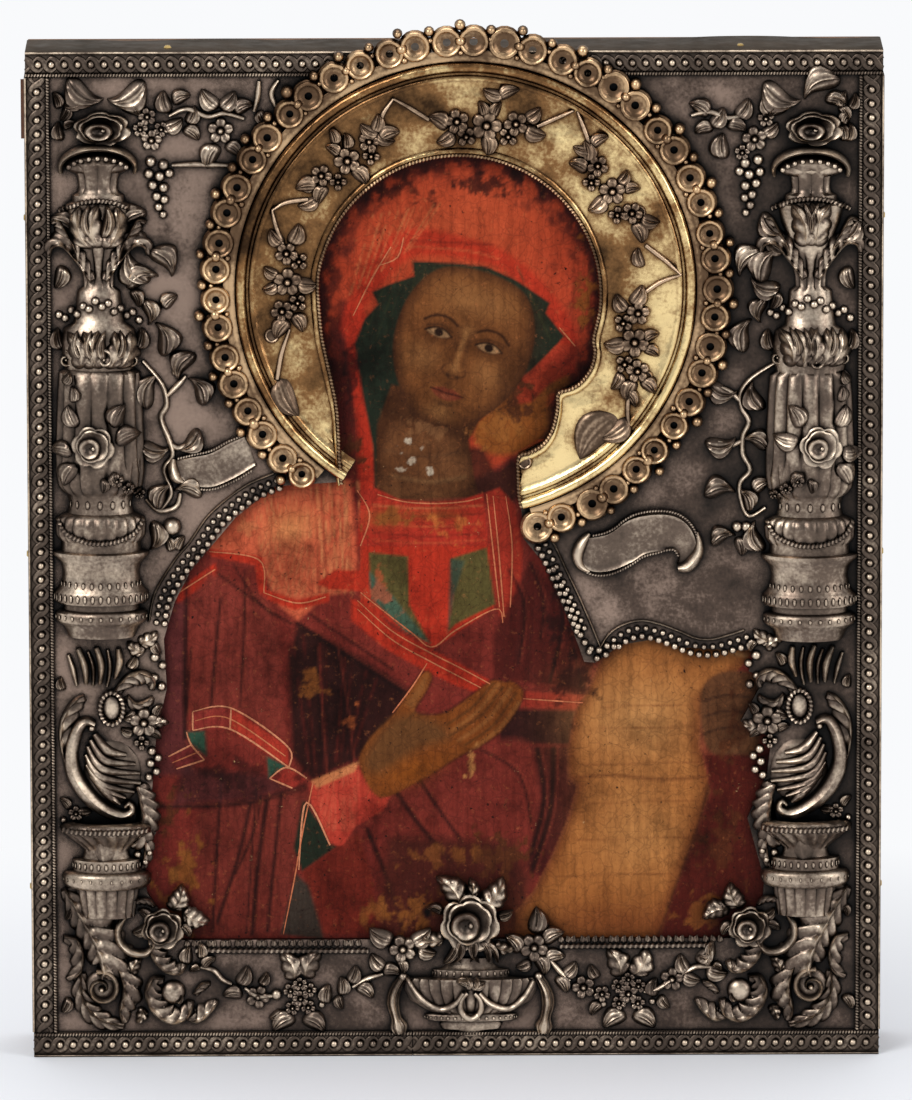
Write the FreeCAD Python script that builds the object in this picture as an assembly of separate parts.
"""A devotional panel icon in a chased silver cover with a gilt halo.

Frame: X to the right, Z up, the picture faces -Y. The origin is the middle of the bottom edge,
on the outer face of the bottom skirt and half way through the board's thickness. Millimetres.
Tables of shares give places as shares of the icon's width and height. What belongs to a pillar,
to the urn or to the halo has its place in shares of that piece's radius from its middle.
"""
import FreeCAD, Part
import math
import os

V = FreeCAD.Vector

# Board
icon_width = 270.0
icon_height = 324.0
board_thickness = 26.0
board_seam_share = -0.045
batten_width = 24.0
batten_end_width = 19.0
batten_depth = 8.0
batten_proud = 4.0
batten_undercut = 2.5
batten_overhang = 2.3
batten_edge = 9.0
batten_fit = 0.05

# Ground and paint
gesso_thickness = 1.0
paint_thickness = 0.3

# Silver sheet
sheet = 0.6
cover_gap = 1.7
overrun = 5.0

# Border strips
border_width = 8.0
side_skirt = 17.0
end_skirt = 24.0
ridge_width = 1.3
ridge_height = 0.8
bead_pitch = 5.2
bead_radius = 1.2
bead_height = 1.3
bead_sides = 4
strip_joint_share = -0.052
corner_gap = 0.15

# Halo
halo_x_share = 0.013
halo_z_share = 0.766
halo_radius = 72.5
halo_rise = 3.0
strip_clearance = 0.2
halo_roll_width = 4.6
halo_roll_height = 1.6
roll_shoulder_share = 0.3
rim_width = 1.6
rim_height = 0.9
ring_thickness = 1.8
ring_stand_off = 2.0
band_width = 4.2
cell_pairs = 23
cell_first_angle = 226.0
cell_last_angle = -70.7
cell_offset = 6.5
cell_radius = 4.4
cell_bowl_radius = 3.0
cell_eye_radius = 1.3
cell_half_gap = 4.3
ball_offset = 4.2
ball_radius = 2.5
cell_sides = 8
eye_sides = 6
ball_sides = 5

# Pillars and other turned shapes, in half relief
pillar_gap = 0.4
pillar_radius = 14.6
relief_share = 0.62
flute_share = 0.11
urn_radius = 21.5
urn_relief_share = 0.26

# Relief
leaf_length = 7.0
leaf_height = 2.4
leaf_width_share = 0.68
leaf_back_share = 0.15
leaf_fore_share = 0.25
leaf_fore_width_share = 0.8
leaf_crown_share = 0.1
blossom_radius = 4.0
blossom_height = 2.8
rose_radius = 7.0
rose_height = 6.0
urn_rose_radius = 9.1
petal_dip_share = 0.74
berry_radius = 1.9
berry_height = 2.2
berry_sides = 5
scroll_width = 4.6
scroll_height = 3.2
scroll_tip_share = 0.35
scroll_lead = 0.4
bracket_scroll_width = 9.2
bracket_scroll_height = 6.4
banner_height = 1.8
bud_share = 0.52
miter_limit_share = 0.55
flatness = 0.00000001

# Beads along the edge of the window
edge_bead_radius = 0.95
edge_bead_height = 1.1
edge_bead_pitch = 3.6
rope_width = 2.2
rope_height = 1.3

# Hanging ring
ring_wire = 1.2
ring_reach = 11.8
staple_wire = 0.9
staple_half_gap = 3.0
staple_leg = 14.0
staple_z_share = 0.814
ring_off_board = 2.6
wire_sides = 6
ring_steps = 24
bow_steps = 8
swing_clearance = 0.1

# Nails
nail_head = 1.7
nail_head_height = 0.7
nail_sides = 4
nail_shank = 0.55
nail_length = 12.0
nails_per_side = 3
nails_per_end = 3
nail_in_from_front = 8.0

# Levels, from the board's middle outwards to the front (-Y)
board_front = -board_thickness / 2
board_back = board_thickness / 2
gesso_front = board_front - gesso_thickness
paint_front = gesso_front - paint_thickness
sheet_back = paint_front - cover_gap
sheet_front = sheet_back - sheet
strip_front = sheet_front - sheet
halo_front = sheet_front - halo_rise
ring_back = sheet_front - ring_stand_off

board_half = icon_width / 2 - sheet
board_foot = sheet
board_top = icon_height - sheet
halo_x = halo_x_share * icon_width
halo_z = halo_z_share * icon_height
field_half = icon_width / 2 - border_width
pillar_x = field_half - pillar_gap - pillar_radius
hinge_y = board_back + ring_off_board
eye_z = staple_z_share * icon_height
hinge_z = eye_z - (staple_half_gap - staple_wire - ring_wire - swing_clearance)

# The window's outline, from the halo's tips down. The arch over the head is a circle.
head_left_shares = [(-0.133, 0.575), (-0.136, 0.617), (-0.142, 0.668), (-0.154, 0.717)]
head_right_shares = [(0.163, 0.705), (0.159, 0.690), (0.149, 0.676), (0.121, 0.664), (0.114, 0.630),
                     (0.104, 0.615), (0.074, 0.602), (0.073, 0.584), (0.077, 0.551)]
head_arch_shares = (0.005, 0.761)
head_arch_radius = 44.6
head_arch_start = -12.0
head_arch_end = 180.0
head_arch_steps = 20
shoulder_left_shares = [
    (-0.210, 0.571), (-0.257, 0.540), (-0.310, 0.487), (-0.329, 0.456), (-0.342, 0.419)]
shoulder_right_shares = [(0.080, 0.518), (0.106, 0.491), (0.125, 0.452), (0.143, 0.414), (0.151, 0.395)]
scroll_top_shares = [
    (0.164, 0.394), (0.194, 0.412), (0.231, 0.417), (0.268, 0.409), (0.326, 0.406), (0.352, 0.406)]
jamb_left_shares = [(-0.339, 0.370), (-0.352, 0.322), (-0.358, 0.258), (-0.350, 0.231), (-0.368, 0.196),
                    (-0.364, 0.165), (-0.326, 0.117)]
jamb_right_shares = [
    (0.344, 0.385), (0.363, 0.378), (0.335, 0.335), (0.371, 0.318), (0.366, 0.282), (0.343, 0.238),
    (0.363, 0.176), (0.361, 0.156), (0.323, 0.117)]
bead_line_left_shares = [(-0.212, 0.584), (-0.286, 0.544), (-0.329, 0.498), (-0.356, 0.451)]
bead_line_right_shares = [
    (0.100, 0.535), (0.130, 0.487), (0.159, 0.432), (0.170, 0.410), (0.196, 0.432), (0.239, 0.433),
    (0.281, 0.419), (0.337, 0.425)]

# Turned profiles: (height share of the icon, radius share of the pillar or the urn)
pillar_profile_shares = [
    (0.421, 0.78), (0.432, 0.84), (0.435, 0.99), (0.446, 0.99), (0.448, 0.86), (0.453, 0.86),
    (0.455, 1.00), (0.466, 1.00), (0.469, 0.95), (0.481, 0.80), (0.499, 0.99), (0.503, 0.99),
    (0.505, 0.86), (0.513, 0.86), (0.517, 0.95), (0.528, 0.99), (0.538, 0.94), (0.541, 0.70),
    (0.558, 0.68), (0.562, 0.82), (0.580, 0.96)]
shaft_profile_shares = [
    (0.583, 0.93), (0.640, 0.97), (0.685, 0.92)]
neck_profile_shares = [
    (0.688, 0.80), (0.712, 0.92), (0.732, 0.66), (0.760, 0.52), (0.766, 0.36), (0.790, 0.42),
    (0.812, 0.58), (0.832, 0.80), (0.852, 0.78), (0.856, 0.55), (0.864, 0.32), (0.880, 0.62),
    (0.899, 0.78), (0.917, 0.74), (0.921, 0.45)]
foot_profile_shares = [
    (0.144, 0.66), (0.168, 0.70), (0.170, 0.97), (0.184, 0.97), (0.186, 0.77), (0.197, 0.77),
    (0.199, 0.40), (0.205, 0.38), (0.228, 0.68), (0.231, 0.88), (0.243, 0.88)]
urn_profile_shares = [
    (0.0255, 0.30), (0.030, 0.46), (0.036, 0.50), (0.039, 0.68), (0.043, 0.50), (0.050, 0.70),
    (0.066, 0.96), (0.079, 1.00), (0.080, 0.56), (0.087, 0.58), (0.090, 0.30), (0.100, 0.32)]
urn_x_share = 0.017

# Leaves: (x, z, size as a share of the leaf length, turn in degrees from +X)
pillar_leaves_left_shares = [
    (-0.205, 0.963, 1.5, 155), (0.664, 0.961, 1.5, 20), (-0.822, 0.951, 0.7, 100),
    (-0.781, 0.923, 0.8, 95), (0.856, 0.790, 1.4, -60), (-0.671, 0.827, 1.3, 140),
    (0.616, 0.827, 1.3, 30)]
pillar_leaves_right_shares = [
    (-0.740, 0.957, 1.5, 160), (0.144, 0.956, 1.5, 25), (0.753, 0.938, 0.7, 80), (0.685, 0.920, 0.8, 85),
    (-0.890, 0.790, 1.4, -120), (-0.616, 0.824, 1.3, 150), (0.616, 0.824, 1.3, 40)]
pillar_rose_left_shares = (0.110, 0.934)
pillar_rose_right_shares = (0.041, 0.931)
bracket_leaves_shares = [
    (-0.534, 0.404, 1.5, -90), (-0.164, 0.404, 1.5, -90), (0.274, 0.404, 1.5, -90),
    (-0.103, 0.296, 3.0, 108), (0.274, 0.306, 2.8, 88), (0.616, 0.299, 2.4, 68),
    (0.753, 0.269, 1.3, 10), (0.890, 0.245, 1.2, 20)]
bracket_berries_shares = [(1.068, 0.401), (1.116, 0.386), (1.137, 0.369), (1.027, 0.352), (0.918, 0.335)]
bracket_scroll_shares = [
    (-0.308, 0.375), (-0.562, 0.352), (-0.658, 0.324), (-0.548, 0.295), (-0.240, 0.269),
    (0.205, 0.252), (0.548, 0.259), (0.445, 0.273)]
bracket_ring_shares = (0.103, 0.357)
corner_scrolls_shares = [
    [(-0.788, 0.141), (-0.411, 0.136), (-0.034, 0.111), (0.240, 0.090), (0.171, 0.065), (-0.171, 0.057),
     (-0.411, 0.068), (-0.240, 0.079)],
    [(-0.507, 0.054), (-0.377, 0.040), (0.000, 0.033), (0.377, 0.039)],
    [(0.993, 0.086), (0.822, 0.062), (1.130, 0.039), (1.610, 0.035), (1.952, 0.052), (1.781, 0.071)],
    [(0.342, 0.134), (0.274, 0.117), (0.589, 0.108), (0.959, 0.116)]]
corner_leaves_shares = [
    (-0.740, 0.102, 1.4, 100), (1.575, 0.159, 1.3, 60), (1.849, 0.139, 1.2, 10), (2.295, 0.102, 1.2, 150),
    (0.719, 0.097, 1.2, 60)]
corner_blossom_shares = (1.192, 0.132)
corner_disc_shares = (1.370, 0.063)
foot_leaves_left_shares = [
    (-0.252, 0.080, 1.0, 60), (-0.261, 0.060, 1.0, -70), (-0.199, 0.086, 1.3, 105),
    (-0.170, 0.087, 1.3, 70), (-0.201, 0.038, 1.1, -110), (-0.171, 0.038, 1.1, -70),
    (-0.151, 0.061, 0.9, 0), (-0.130, 0.074, 0.9, 60), (-0.109, 0.062, 0.9, -40),
    (-0.083, 0.094, 1.0, 100), (-0.087, 0.121, 1.2, 150), (-0.043, 0.122, 1.0, 40)]
foot_leaves_right_shares = [
    (0.067, 0.115, 1.0, 130), (0.093, 0.134, 1.2, 80), (0.116, 0.119, 1.0, 20),
    (0.107, 0.091, 1.1, -30), (0.128, 0.075, 0.9, -60), (0.176, 0.089, 1.2, 110),
    (0.219, 0.090, 1.2, 60), (0.185, 0.038, 1.2, -115), (0.219, 0.038, 1.2, -65),
    (0.236, 0.064, 0.9, 0), (0.272, 0.094, 1.1, 70), (0.277, 0.069, 1.0, -60)]
foot_blossoms_left_shares = [(-0.229, 0.060, 0.8), (-0.185, 0.058, 1.15), (-0.063, 0.108, 0.95)]
foot_blossoms_right_shares = [
    (0.092, 0.111, 1.0), (0.152, 0.066, 0.85), (0.202, 0.062, 1.3), (0.253, 0.078, 0.85)]
foot_stem_left_shares = [(-0.285, 0.088), (-0.269, 0.075), (-0.244, 0.067), (-0.229, 0.060)]
foot_stem_right_shares = [(0.306, 0.086), (0.283, 0.088), (0.268, 0.079), (0.253, 0.078)]
spray_stem_left_shares = [
    (-0.364, 0.691), (-0.342, 0.672), (-0.338, 0.641), (-0.334, 0.605), (-0.337, 0.568),
    (-0.332, 0.531)]
spray_stem_right_shares = [
    (0.361, 0.685), (0.336, 0.664), (0.341, 0.633), (0.337, 0.599), (0.339, 0.562), (0.336, 0.528)]
spray_leaves_left_shares = [
    (-0.354, 0.660, 1.2, -120), (-0.317, 0.684, 1.4, 35), (-0.306, 0.659, 1.3, -10),
    (-0.352, 0.611, 1.1, 170), (-0.317, 0.619, 1.0, 20), (-0.356, 0.557, 1.0, 190),
    (-0.313, 0.562, 1.0, -10), (-0.348, 0.514, 1.1, -110), (-0.346, 0.722, 1.5, -75),
    (-0.346, 0.789, 1.5, -30)]
spray_leaves_right_shares = [
    (0.356, 0.656, 1.2, -60), (0.316, 0.668, 1.2, 170), (0.311, 0.615, 1.2, 190), (0.356, 0.610, 1.0, 0),
    (0.315, 0.563, 1.1, 190), (0.357, 0.568, 0.9, 10), (0.314, 0.515, 1.1, 200), (0.356, 0.520, 1.4, -60),
    (0.342, 0.719, 1.5, -105), (0.347, 0.789, 1.5, 210)]
top_leaves_left_shares = [
    (-0.335, 0.950, 1.1, 80), (-0.328, 0.929, 1.1, 30), (-0.306, 0.937, 0.8, 60),
    (-0.305, 0.919, 0.8, -20), (-0.284, 0.953, 1.1, 120), (-0.264, 0.952, 1.0, 40),
    (-0.281, 0.896, 1.2, -70)]
top_leaves_right_shares = [
    (0.285, 0.943, 1.1, 150), (0.310, 0.932, 1.1, 60), (0.336, 0.944, 1.1, 45), (0.316, 0.905, 1.2, 90),
    (0.339, 0.929, 0.9, -10)]
top_blossoms_left_shares = [(-0.358, 0.937, 0.8), (-0.354, 0.914, 0.9), (-0.270, 0.923, 1.1)]
top_blossoms_right_shares = [(0.350, 0.912, 0.9), (0.361, 0.932, 0.7)]
grapes_shares = [
    (-0.353, 0.892), (-0.338, 0.886), (-0.352, 0.876), (-0.339, 0.869), (-0.347, 0.859),
    (-0.340, 0.847)]
banner_left_shares = [
    (-0.328, 0.583), (-0.310, 0.572), (-0.286, 0.568), (-0.257, 0.577), (-0.242, 0.593),
    (-0.253, 0.614), (-0.273, 0.612), (-0.294, 0.604), (-0.321, 0.602)]
banner_right_shares = [
    (0.153, 0.499), (0.164, 0.486), (0.184, 0.485), (0.204, 0.491), (0.222, 0.502), (0.244, 0.504),
    (0.258, 0.489), (0.270, 0.489), (0.283, 0.505), (0.281, 0.520), (0.270, 0.536), (0.253, 0.544),
    (0.227, 0.545), (0.204, 0.539), (0.180, 0.526), (0.159, 0.522)]
urn_rose_shares = (-0.009, 0.134)
urn_leaves_shares = [(-0.288, 0.162, 1.7, 122), (0.280, 0.161, 1.7, 58), (-0.558, 0.119, 1.2, 175),
                     (0.512, 0.106, 1.0, -10)]
tassel_left_shares = [(-1.060, 0.079), (-1.162, 0.064), (-1.116, 0.042), (-1.079, 0.030)]
tassel_right_shares = [(1.070, 0.079), (1.154, 0.064), (1.126, 0.045), (1.098, 0.030)]
halo_blossoms_shares = [
    (0.091, 0.728, 1.35), (-0.509, 0.574, 1.2), (-0.770, 0.039, 1.25), (0.633, 0.439, 1.2),
    (0.732, -0.229, 1.3)]
halo_leaves_shares = [
    (-0.090, 0.726, 1.3, 175), (0.250, 0.695, 1.2, -20), (0.098, 0.847, 1.0, 90),
    (-0.402, 0.660, 1.2, 40), (-0.633, 0.475, 1.1, 225), (-0.802, 0.196, 1.2, 100),
    (-0.774, -0.121, 1.2, -85), (-0.744, -0.444, 1.7, -70), (0.528, 0.563, 1.2, 130),
    (0.732, 0.306, 1.1, -55), (0.757, -0.072, 1.1, 85), (0.713, -0.389, 1.1, -95),
    (0.567, -0.656, 2.4, -130)]


def on_front(x_share, z_share):
    """A place on the icon's front, from shares of its width and height."""
    return x_share * icon_width, z_share * icon_height


def by_left_pillar(x_share, z_share):
    return x_share * pillar_radius - pillar_x, z_share * icon_height


def by_right_pillar(x_share, z_share):
    return x_share * pillar_radius + pillar_x, z_share * icon_height


def by_urn(x_share, z_share):
    return x_share * urn_radius + urn_x_share * icon_width, z_share * icon_height


def by_halo(x_share, z_share):
    return halo_x + x_share * halo_radius, halo_z + z_share * halo_radius


def places(shares, put=on_front):
    return [put(x, z) for x, z in shares]


def mirrored(shares):
    """The same rows on the other side; a fourth value is a turn from +X."""
    return [(-row[0],) + tuple(row[1:3]) + tuple(180 - turn for turn in row[3:]) for row in shares]


def closed(loop):
    return Part.makePolygon(loop + loop[:1])


def at_level(points, y):
    return [V(x, y, z) for x, z in points]


def plate(points, y_back, y_front):
    return Part.Face(closed(at_level(points, y_back))).extrude(V(0, y_front - y_back, 0))


def block(x0, x1, y0, y1, z0, z1):
    return Part.makeBox(x1 - x0, y1 - y0, z1 - z0, V(x0, y0, z0))


def faceted(corner_lists):
    """A closed solid with these flat faces."""
    shell = Part.makeShell([Part.Face(closed(corners)) for corners in corner_lists])
    shell.sewShape()
    solid = Part.makeSolid(shell)
    if solid.Volume < 0:
        solid.reverse()
    return solid


def is_flat(a, b, c, d):
    normal = (b - a).cross(d - a)
    return normal.Length > 0 and abs(normal.normalize().dot(c - a)) < flatness


def loft(*loops):
    """Flat facets from one loop of points to the next, with a flat end at each side."""
    faces = [loops[0], loops[-1]]
    for near, far in zip(loops, loops[1:]):
        for i in range(len(near)):
            a, b, c, d = near[i - 1], near[i], far[i], far[i - 1]
            faces += [[a, b, c, d]] if is_flat(a, b, c, d) else [[a, b, c], [a, c, d]]
    return faceted(faces)


def peak(loop, crown):
    """Flat facets from a loop of points up to one point."""
    return faceted([loop] + [[loop[i - 1], loop[i], crown] for i in range(len(loop))])


def joined(solids):
    return solids[0].fuse(solids[1:]).removeSplitter() if len(solids) > 1 else solids[0]


def cut_by(shape, tools):
    near = [t for t in tools if t.BoundBox.intersect(shape.BoundBox)]
    return shape.cut(near) if near else shape


def round_points(x, z, radius, sides):
    angles = [2 * math.pi * (i + 0.5) / sides for i in range(sides)]
    return [(x + radius * math.cos(a), z + radius * math.sin(a)) for a in angles]


def grown(points, amount):
    """An outline moved outwards by an amount, corner by corner."""
    area = sum(a[0] * b[1] - b[0] * a[1] for a, b in zip(points, points[1:] + points[:1]))
    turn = 1 if area > 0 else -1
    moved = []
    for before, here, after in zip(points[-1:] + points[:-1], points, points[1:] + points[:1]):
        a = math.atan2(here[1] - before[1], here[0] - before[0])
        b = math.atan2(after[1] - here[1], after[0] - here[0])
        bend = math.atan2(math.sin(b - a), math.cos(b - a))
        direction = a + bend / 2 - turn * math.pi / 2
        reach = amount / max(math.cos(bend / 2), miter_limit_share)
        moved.append((here[0] + reach * math.cos(direction), here[1] + reach * math.sin(direction)))
    return moved


def arch(x, z, radius, start, end, steps):
    angles = [math.radians(start + (end - start) * i / steps) for i in range(steps + 1)]
    return [(x + radius * math.cos(a), z + radius * math.sin(a)) for a in angles]


def head_opening():
    """The horseshoe round the painted head, from the halo's right tip over the top to its left tip."""
    x, z = on_front(*head_arch_shares)
    right = places(head_right_shares)[::-1]
    left = places(head_left_shares)[::-1]
    return right + arch(x, z, head_arch_radius, head_arch_start, head_arch_end, head_arch_steps) + left


def window():
    """The whole window in the cover: head, shoulders, the jambs and the straight foot."""
    left = places(shoulder_left_shares) + places(jamb_left_shares)
    right = places(jamb_right_shares)[::-1] + places(scroll_top_shares)[::-1]
    right += places(shoulder_right_shares)[::-1]
    return head_opening() + left + right


def export(name, shape):
    shape.exportStep(f"parts/{name}.step")


# Wood

def batten_solid(z_middle, narrow_at, wide_at, clearance):
    """A dovetail batten that narrows from wide_at to narrow_at along X."""
    def section(x, width):
        half = width / 2 + clearance
        y_in = board_back - batten_depth - clearance
        y_out = board_back + batten_proud + clearance
        corners = [(y_in, half), (board_back, half - batten_undercut), (y_out, half - batten_undercut),
                   (y_out, batten_undercut - half), (board_back, batten_undercut - half), (y_in, -half)]
        return [V(x, y, z_middle + z) for y, z in corners]
    return loft(section(narrow_at, batten_end_width), section(wide_at, batten_width))


def nail(x, y, z, direction, sunk=False):
    """A forged nail with a square head. direction points out of the wood; a sunk head is flush."""
    out = V(*direction)
    side = V(0, 1, 0)
    up = out.cross(side)
    base = V(x, y, z) - out * (nail_head_height if sunk else 0)

    def ring_of(radius, height):
        angles = [2 * math.pi * (i + 0.5) / nail_sides for i in range(nail_sides)]
        return [base + out * height + side * (radius * math.cos(a)) + up * (radius * math.sin(a))
                for a in angles]
    inner, outer = (nail_shank, nail_head) if sunk else (nail_head, nail_head * bud_share)
    head = loft(ring_of(inner, 0), ring_of(outer, nail_head_height))
    shank = loft(ring_of(nail_shank, -nail_length), ring_of(nail_shank, 0))
    return head.fuse(shank)


def nails():
    found = []
    y = sheet_front + nail_in_from_front
    for i in range(nails_per_side):
        z = icon_height * (i + 0.5) / nails_per_side
        found += [nail(-icon_width / 2, y, z, (-1, 0, 0)), nail(icon_width / 2, y, z, (1, 0, 0))]
    for i in range(nails_per_end):
        x = icon_width * ((i + 0.5) / nails_per_end - 0.5)
        found += [nail(x, y, icon_height, (0, 0, 1)), nail(x, y, 0, (0, 0, -1), sunk=True)]
    return found


def rod(path, radius, ring=False):
    """A wire along a path in the YZ or XZ plane, as a run of straight six-sided pieces."""
    normal = (path[1] - path[0]).cross(path[2] - path[1]).normalize()
    count = len(path)
    sections = []
    for i, here in enumerate(path):
        before = path[i - 1] if ring or i else here
        after = path[(i + 1) % count] if ring or i + 1 < count else here
        along = (after - before).normalize()
        side = normal.cross(along)
        angles = [2 * math.pi * (k + 0.5) / wire_sides for k in range(wire_sides)]
        sections.append([here + side * (radius * math.cos(a)) + normal * (radius * math.sin(a))
                         for a in angles])
    if not ring:
        return loft(*sections)
    half = count // 2
    return loft(*sections[:half + 1]).fuse(loft(*sections[half:], sections[0])).removeSplitter()


def staple():
    """A bent wire eye with two legs driven into the board; the ring's wire rests on the lower one."""
    angles = [math.pi / 2 - math.pi * i / bow_steps for i in range(bow_steps + 1)]
    bow = [V(0, hinge_y + staple_half_gap * math.cos(a), eye_z + staple_half_gap * math.sin(a))
           for a in angles]
    foot = board_back - staple_leg
    legs = [V(0, foot, eye_z + staple_half_gap), V(0, foot, eye_z - staple_half_gap)]
    return rod(legs[:1] + bow + legs[1:], staple_wire)


def hanging_ring():
    angles = [2 * math.pi * (i + 0.5) / ring_steps for i in range(ring_steps)]
    middle = hinge_z - ring_reach
    return rod([V(ring_reach * math.cos(a), hinge_y, middle + ring_reach * math.sin(a)) for a in angles],
               ring_wire, ring=True)


def wood(nail_solids, eye):
    seam = board_seam_share * icon_width
    z_low = board_foot + batten_edge + batten_width / 2
    z_high = board_top - batten_edge - batten_width / 2
    reach = board_half + batten_overhang
    export("upper_batten", batten_solid(z_high, -reach, board_half, 0))
    export("lower_batten", batten_solid(z_low, board_half, -board_half, 0))
    grooves = [batten_solid(z_high, -reach, board_half, batten_fit),
               batten_solid(z_low, board_half, -board_half, batten_fit)]
    spans = {"board_left": (-board_half, seam), "board_right": (seam, board_half)}
    for name, (x0, x1) in spans.items():
        board = block(x0, x1, board_front, board_back, board_foot, board_top).cut(grooves)
        export(name, cut_by(board, nail_solids + [eye]))


def ground_and_paint():
    export("gesso_ground", block(-board_half, board_half, gesso_front, board_front, board_foot, board_top))
    export("painting", block(-board_half, board_half, paint_front, gesso_front, board_foot, board_top))


# Silver cover

def cover_sheet():
    """One sheet with the window cut out, its edge and its outer rim turned back to the painting."""
    outline = window()
    body = block(-board_half, board_half, sheet_front, sheet_back, board_foot, board_top)
    hole = plate(outline, sheet_back + overrun, sheet_front - overrun)
    flange = plate(grown(outline, sheet), paint_front, sheet_back)
    rim = block(-board_half, board_half, sheet_back, paint_front, board_foot, board_top)
    rim = rim.cut(block(-board_half + sheet, board_half - sheet, sheet_back, paint_front,
                        board_foot + sheet, board_top - sheet))
    export("cover_sheet", body.fuse([flange, rim]).cut(hole).removeSplitter())


def stud(x, z, y, radius, height, sides=bead_sides):
    """A small pointed bead on the level y."""
    return peak(at_level(round_points(x, z, radius, sides), y), V(x, y - height, z))


def moulding(start, end, half_width, height, y):
    """A straight moulding with a roof section from start to end."""
    along = V(end[0] - start[0], 0, end[1] - start[1])
    side = V(along.z, 0, -along.x).normalize() * half_width
    foot = V(start[0], y, start[1])
    section = closed([foot - side, foot - V(0, height, 0), foot + side])
    return Part.Face(section).extrude(along)


def stepped(line, pitch):
    """Places at an even pitch along a line of points."""
    lengths = [math.dist(a, b) for a, b in zip(line, line[1:])]
    count = max(1, round(sum(lengths) / pitch))
    found = []
    for i in range(count + 1):
        left = sum(lengths) * i / count
        for a, b, length in zip(line, line[1:], lengths):
            if left <= length or b is line[-1]:
                share = min(1, left / length)
                found.append((a[0] + (b[0] - a[0]) * share, a[1] + (b[1] - a[1]) * share))
                break
            left -= length
    return found


def bead_row(start, end):
    return [stud(x, z, strip_front, bead_radius, bead_height) for x, z in stepped([start, end], bead_pitch)]


def border(nail_solids):
    """Strips that lap over the sheet's rim and turn back over the edges of the board."""
    strips = []
    half, inner = icon_width / 2, icon_width / 2 - border_width
    middle = half - border_width / 2
    y_side = sheet_front + side_skirt
    y_end = sheet_front + end_skirt
    half_ridge = ridge_width / 2
    low, high = border_width + corner_gap, icon_height - border_width - corner_gap
    for side, name in ((-1, "border_left"), (1, "border_right")):
        bar = block(*sorted((side * inner, side * half)), strip_front, sheet_front, low, high)
        skirt = block(*sorted((side * board_half, side * half)), strip_front, y_side, 0, icon_height)
        ridges = [moulding((side * x, low), (side * x, high), half_ridge, ridge_height, strip_front)
                  for x in (half - half_ridge, inner + half_ridge)]
        beads = bead_row((side * middle, low + bead_pitch / 2), (side * middle, high - bead_pitch / 2))
        strips.append(cut_by(joined([bar, skirt] + ridges + beads), nail_solids))
        export(name, strips[-1])
    joint = strip_joint_share * icon_width
    spans = {"border_top": (-board_half, board_half), "border_bottom_left": (-board_half, joint),
             "border_bottom_right": (joint + corner_gap, board_half)}
    for name, (x0, x1) in spans.items():
        foot, head, skirt_span = 0, border_width, (0, board_foot)
        if name == "border_top":
            foot, head, skirt_span = icon_height - border_width, icon_height, (board_top, icon_height)
        bar = block(x0, x1, strip_front, sheet_front, foot, head)
        skirt = block(x0, x1, strip_front, y_end, *skirt_span)
        ridges = [moulding((x0, z), (x1, z), half_ridge, ridge_height, strip_front)
                  for z in (foot + half_ridge, head - half_ridge)]
        z = (foot + head) / 2
        beads = bead_row((x0 + bead_pitch / 2, z), (x1 - bead_pitch / 2, z))
        strips.append(cut_by(joined([bar, skirt] + ridges + beads), nail_solids))
        export(name, strips[-1])
    return strips


# Halo

def tip_wedge(y0, y1):
    """What is taken out of the halo's disc: the head opening, carried on down between the two tips."""
    opening = head_opening()
    right, left = opening[0], opening[-1]
    below = halo_z - halo_radius - band_width - overrun
    slant = (left[0] - halo_x) / (left[1] - halo_z)
    return plate(opening + [(halo_x + slant * (below - halo_z), below), (right[0], below)], y0, y1)


def halo_plate():
    """A shallow pan with a rolled edge; its wall is notched where it bridges the top strip."""
    axis = V(0, -1, 0)
    centre = V(halo_x, sheet_front, halo_z)
    disc = Part.makeCylinder(halo_radius, halo_rise, centre, axis)
    hollow = Part.makeCylinder(halo_radius - sheet, halo_rise - sheet, centre, axis)
    opening = tip_wedge(sheet_front + overrun, halo_front - overrun)
    wall = plate(grown(head_opening(), sheet), sheet_front, halo_front).common(disc)
    shoulder = halo_roll_width * roll_shoulder_share
    roll_inner = halo_radius - halo_roll_width
    profile = [(roll_inner, 0), (roll_inner + shoulder, halo_roll_height),
               (halo_radius - shoulder, halo_roll_height), (halo_radius, 0)]
    roll = Part.Face(closed([V(halo_x + r, halo_front - h, halo_z) for r, h in profile]))
    roll = roll.revolve(V(halo_x, 0, halo_z), V(0, 1, 0), 360)
    inside = Part.makeCylinder(roll_inner, halo_rise + halo_roll_height, centre, axis)
    rim = plate(grown(head_opening(), rim_width), halo_front, halo_front - rim_height).common(inside)
    under = block(-board_half, board_half, strip_front - bead_height - strip_clearance, sheet_front,
                  icon_height - border_width - strip_clearance, icon_height)
    body = disc.cut(hollow).fuse([wall, roll, rim]).cut([opening, under]).removeSplitter()
    export("halo_plate", body)
    return body


def round_halo(angle, radius):
    a = math.radians(angle)
    return halo_x + radius * math.cos(a), halo_z + radius * math.sin(a)


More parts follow.
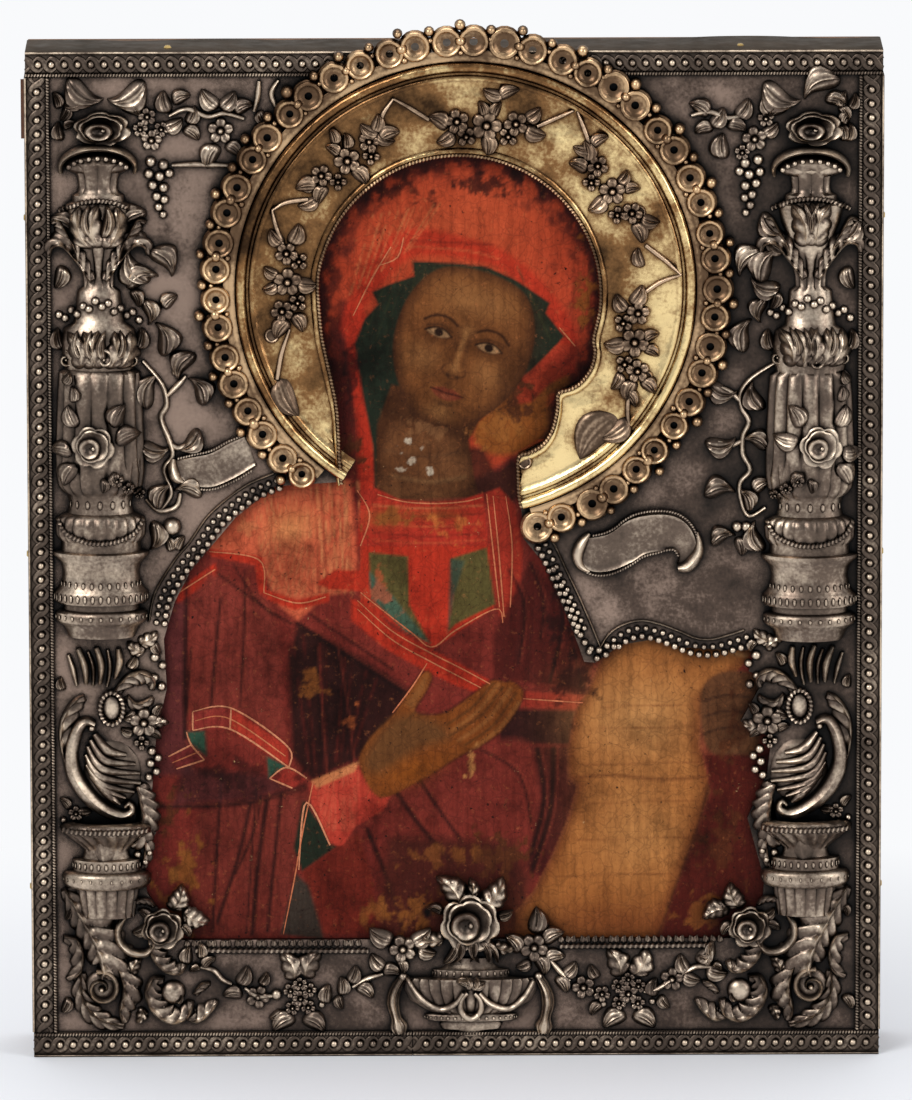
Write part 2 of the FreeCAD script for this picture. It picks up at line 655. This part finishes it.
def halo_border():
    """A pierced ring of paired rosettes: each is dished down to an eye, and a ball crowns each pair."""
    reach = halo_radius + cell_offset
    step = (cell_last_angle - cell_first_angle) / (cell_pairs - 1)
    half = math.degrees(cell_half_gap / reach)
    axis = V(0, -1, 0)
    centre = V(halo_x, ring_back, halo_z)
    band = Part.makeCylinder(halo_radius + band_width, ring_thickness, centre, axis)
    band = band.cut([Part.makeCylinder(halo_radius, ring_thickness, centre, axis),
                     tip_wedge(sheet_front + overrun, halo_front - overrun)])
    front = ring_back - ring_thickness
    bosses, eyes = [], []
    for i in range(cell_pairs):
        middle = cell_first_angle + step * i
        for angle in (middle - half, middle + half):
            x, z = round_halo(angle, reach)
            bosses.append(plate(round_points(x, z, cell_radius, cell_sides), ring_back, front))
            eyes.append(loft(at_level(round_points(x, z, cell_eye_radius, eye_sides), ring_back),
                             at_level(round_points(x, z, cell_bowl_radius, eye_sides), front)))
        x, z = round_halo(middle, reach + ball_offset)
        bosses.append(plate(round_points(x, z, ball_radius, ball_sides), ring_back, front))
    ring = band.fuse(bosses).cut(eyes).removeSplitter()
    export("halo_border", ring)
    return ring


# Turned shapes in half relief

def turned(x, profile, radius, depth_share, steps=8, flutes=False):
    """A loft through half rounds that lie on the cover, one for each row of the profile."""
    sections = []
    for height_share, share in profile:
        loop = []
        for i in range(steps + 1):
            a = math.pi * i / steps
            dip = flute_share if flutes and i % 2 and 0 < i < steps else 0
            r = radius * share * (1 - dip)
            loop.append(V(x - r * math.cos(a), sheet_front - depth_share * r * math.sin(a),
                          height_share * icon_height))
        sections.append(loop)
    return loft(*sections)


def pillar(side):
    x = side * pillar_x
    low = turned(x, pillar_profile_shares + shaft_profile_shares[:1], pillar_radius, relief_share)
    shaft = turned(x, shaft_profile_shares, pillar_radius, relief_share, 12, flutes=True)
    neck = turned(x, shaft_profile_shares[-1:] + neck_profile_shares, pillar_radius, relief_share)
    return low.fuse([shaft, neck])


# Chased leaves, flowers and scrolls

def leaf(x, z, length, turn, y, height):
    """A pointed leaf: a low pyramid whose tip points at the angle turn."""
    half = leaf_width_share / 2
    fore = half * leaf_fore_width_share
    outline = [(-0.5, 0), (-leaf_back_share, -half), (leaf_fore_share, -fore), (0.5, 0),
               (leaf_fore_share, fore), (-leaf_back_share, half)]
    c, s = math.cos(math.radians(turn)) * length, math.sin(math.radians(turn)) * length
    points = [(x + u * c - w * s, z + u * s + w * c) for u, w in outline]
    crown = V(x - leaf_crown_share * c, y - height, z - leaf_crown_share * s)
    return peak(at_level(points, y), crown)


def leaves(rows, put=on_front, y=sheet_front):
    found = []
    for x_share, z_share, size, turn in rows:
        height = leaf_height * math.sqrt(size)
        found.append(leaf(*put(x_share, z_share), size * leaf_length, turn, y, height))
    return found


def petalled(x, z, radius, petals):
    """An outline that goes in and out once for each petal."""
    points = []
    for i in range(2 * petals):
        r = radius * (petal_dip_share if i % 2 else 1)
        a = math.pi * i / petals + math.pi / 2
        points.append((x + r * math.cos(a), z + r * math.sin(a)))
    return points


def blossom(x, z, radius, height, y=sheet_front, petals=5):
    """A flower whose petals rise to its middle."""
    return peak(at_level(petalled(x, z, radius, petals), y), V(x, y - height, z))


def rose(x, z, radius, height, y=sheet_front, petals=5):
    """A flower with a petalled disc and a pointed bud in its middle."""
    disc = plate(petalled(x, z, radius, petals), y, y - height * bud_share)
    bud = stud(x, z, y - height * bud_share, radius * bud_share, height * (1 - bud_share), petals)
    return disc.fuse(bud)


def blossoms(rows, put=on_front, y=sheet_front):
    found = []
    for x_share, z_share, size in rows:
        found.append(blossom(*put(x_share, z_share), size * blossom_radius, blossom_height, y))
    return found


def scroll(shares, put=on_front, width=scroll_width, height=scroll_height):
    """A scroll that swells and tapers along its line, with a roof section."""
    line = places(shares, put)
    last = len(line) - 1
    sections = []
    for i, here in enumerate(line):
        before, after = line[max(0, i - 1)], line[min(last, i + 1)]
        along = V(after[0] - before[0], 0, after[1] - before[1]).normalize()
        side = V(along.z, 0, -along.x)
        swell = math.sin(math.pi * (i + scroll_lead) / (last + 2 * scroll_lead))
        swell = scroll_tip_share + (1 - scroll_tip_share) * swell
        foot = V(here[0], sheet_front, here[1])
        half = side * (width * swell / 2)
        sections.append([foot - half, foot - V(0, height * swell, 0), foot + half])
    return loft(*sections)


def berries(shares, put=on_front):
    return [stud(x, z, sheet_front, berry_radius, berry_height, berry_sides)
            for x, z in places(shares, put)]


def stem(shares):
    return scroll(shares, on_front, rope_width, rope_height)


def mirror_x(shape):
    return shape.mirror(V(0, 0, 0), V(1, 0, 0))


def main():
    eye = staple()
    nail_solids = nails()
    export("ring_staple", eye)
    export("skirt_nails", Part.makeCompound(nail_solids))
    export("hanging_ring", hanging_ring())
    wood(nail_solids, eye)
    ground_and_paint()
    cover_sheet()
    strips = border(nail_solids)
    halo, ring = halo_plate(), halo_border()
    placed = strips

    def add(name, solids):
        shape = cut_by(joined(solids), placed)
        placed.append(shape)
        export(name, shape)
    for side, word in ((-1, "left"), (1, "right")):
        left = side < 0
        put = by_left_pillar if left else by_right_pillar
        head_rose = put(*(pillar_rose_left_shares if left else pillar_rose_right_shares))
        leaf_rows = pillar_leaves_left_shares if left else pillar_leaves_right_shares
        foot = turned(side * pillar_x, foot_profile_shares, pillar_radius, relief_share)
        add(f"{word}_pillar", [pillar(side), rose(*head_rose, rose_radius, rose_height)])
        add(f"{word}_pillar_leaves", leaves(leaf_rows, put))
        add(f"{word}_pillar_foot", [foot])
        near = by_left_pillar
        bracket = [scroll(bracket_scroll_shares, near, bracket_scroll_width, bracket_scroll_height)]
        bracket += leaves(bracket_leaves_shares, near) + berries(bracket_berries_shares, near)
        bracket.append(blossom(*near(*bracket_ring_shares), blossom_radius, blossom_height))
        add(f"{word}_scroll_bracket", bracket if left else [mirror_x(s) for s in bracket])
        corner = [scroll(row, near) for row in corner_scrolls_shares] + leaves(corner_leaves_shares, near)
        corner.append(rose(*near(*corner_blossom_shares), rose_radius, rose_height))
        corner.append(blossom(*near(*corner_disc_shares), blossom_radius, blossom_height))
        add(f"lower_{word}_corner", corner if left else [mirror_x(s) for s in corner])
    add("bottom_urn", [turned(urn_x_share * icon_width, urn_profile_shares, urn_radius, urn_relief_share)])
    add("urn_rose", [rose(*by_urn(*urn_rose_shares), urn_rose_radius, rose_height, petals=6)]
        + leaves(urn_leaves_shares, by_urn))
    add("urn_tassel_left", [scroll(tassel_left_shares, by_urn)])
    add("urn_tassel_right", [scroll(tassel_right_shares, by_urn)])
    add("bottom_left_garland", [stem(foot_stem_left_shares)]
        + leaves(foot_leaves_left_shares) + blossoms(foot_blossoms_left_shares))
    add("bottom_right_garland", [stem(foot_stem_right_shares)]
        + leaves(foot_leaves_right_shares) + blossoms(foot_blossoms_right_shares))
    add("left_leaf_spray", [stem(spray_stem_left_shares)]
        + leaves(spray_leaves_left_shares))
    add("right_leaf_spray", [stem(spray_stem_right_shares)]
        + leaves(spray_leaves_right_shares))
    add("top_left_garland", leaves(top_leaves_left_shares) + blossoms(top_blossoms_left_shares)
        + berries(grapes_shares))
    add("top_right_garland", leaves(top_leaves_right_shares) + blossoms(top_blossoms_right_shares)
        + berries(mirrored(grapes_shares)))
    add("left_banner", [plate(places(banner_left_shares), sheet_front, sheet_front - banner_height)])
    add("right_banner", [plate(places(banner_right_shares), sheet_front, sheet_front - banner_height)])
    for name, shares in (("left_shoulder_beads", bead_line_left_shares),
                         ("right_shoulder_beads", bead_line_right_shares)):
        row = stepped(places(shares), edge_bead_pitch)
        add(name, [stud(x, z, sheet_front, edge_bead_radius, edge_bead_height) for x, z in row])
    placed = [halo, ring]
    add("halo_flowers", leaves(halo_leaves_shares, by_halo, halo_front)
        + blossoms(halo_blossoms_shares, by_halo, halo_front))


os.makedirs("parts", exist_ok=True)
main()
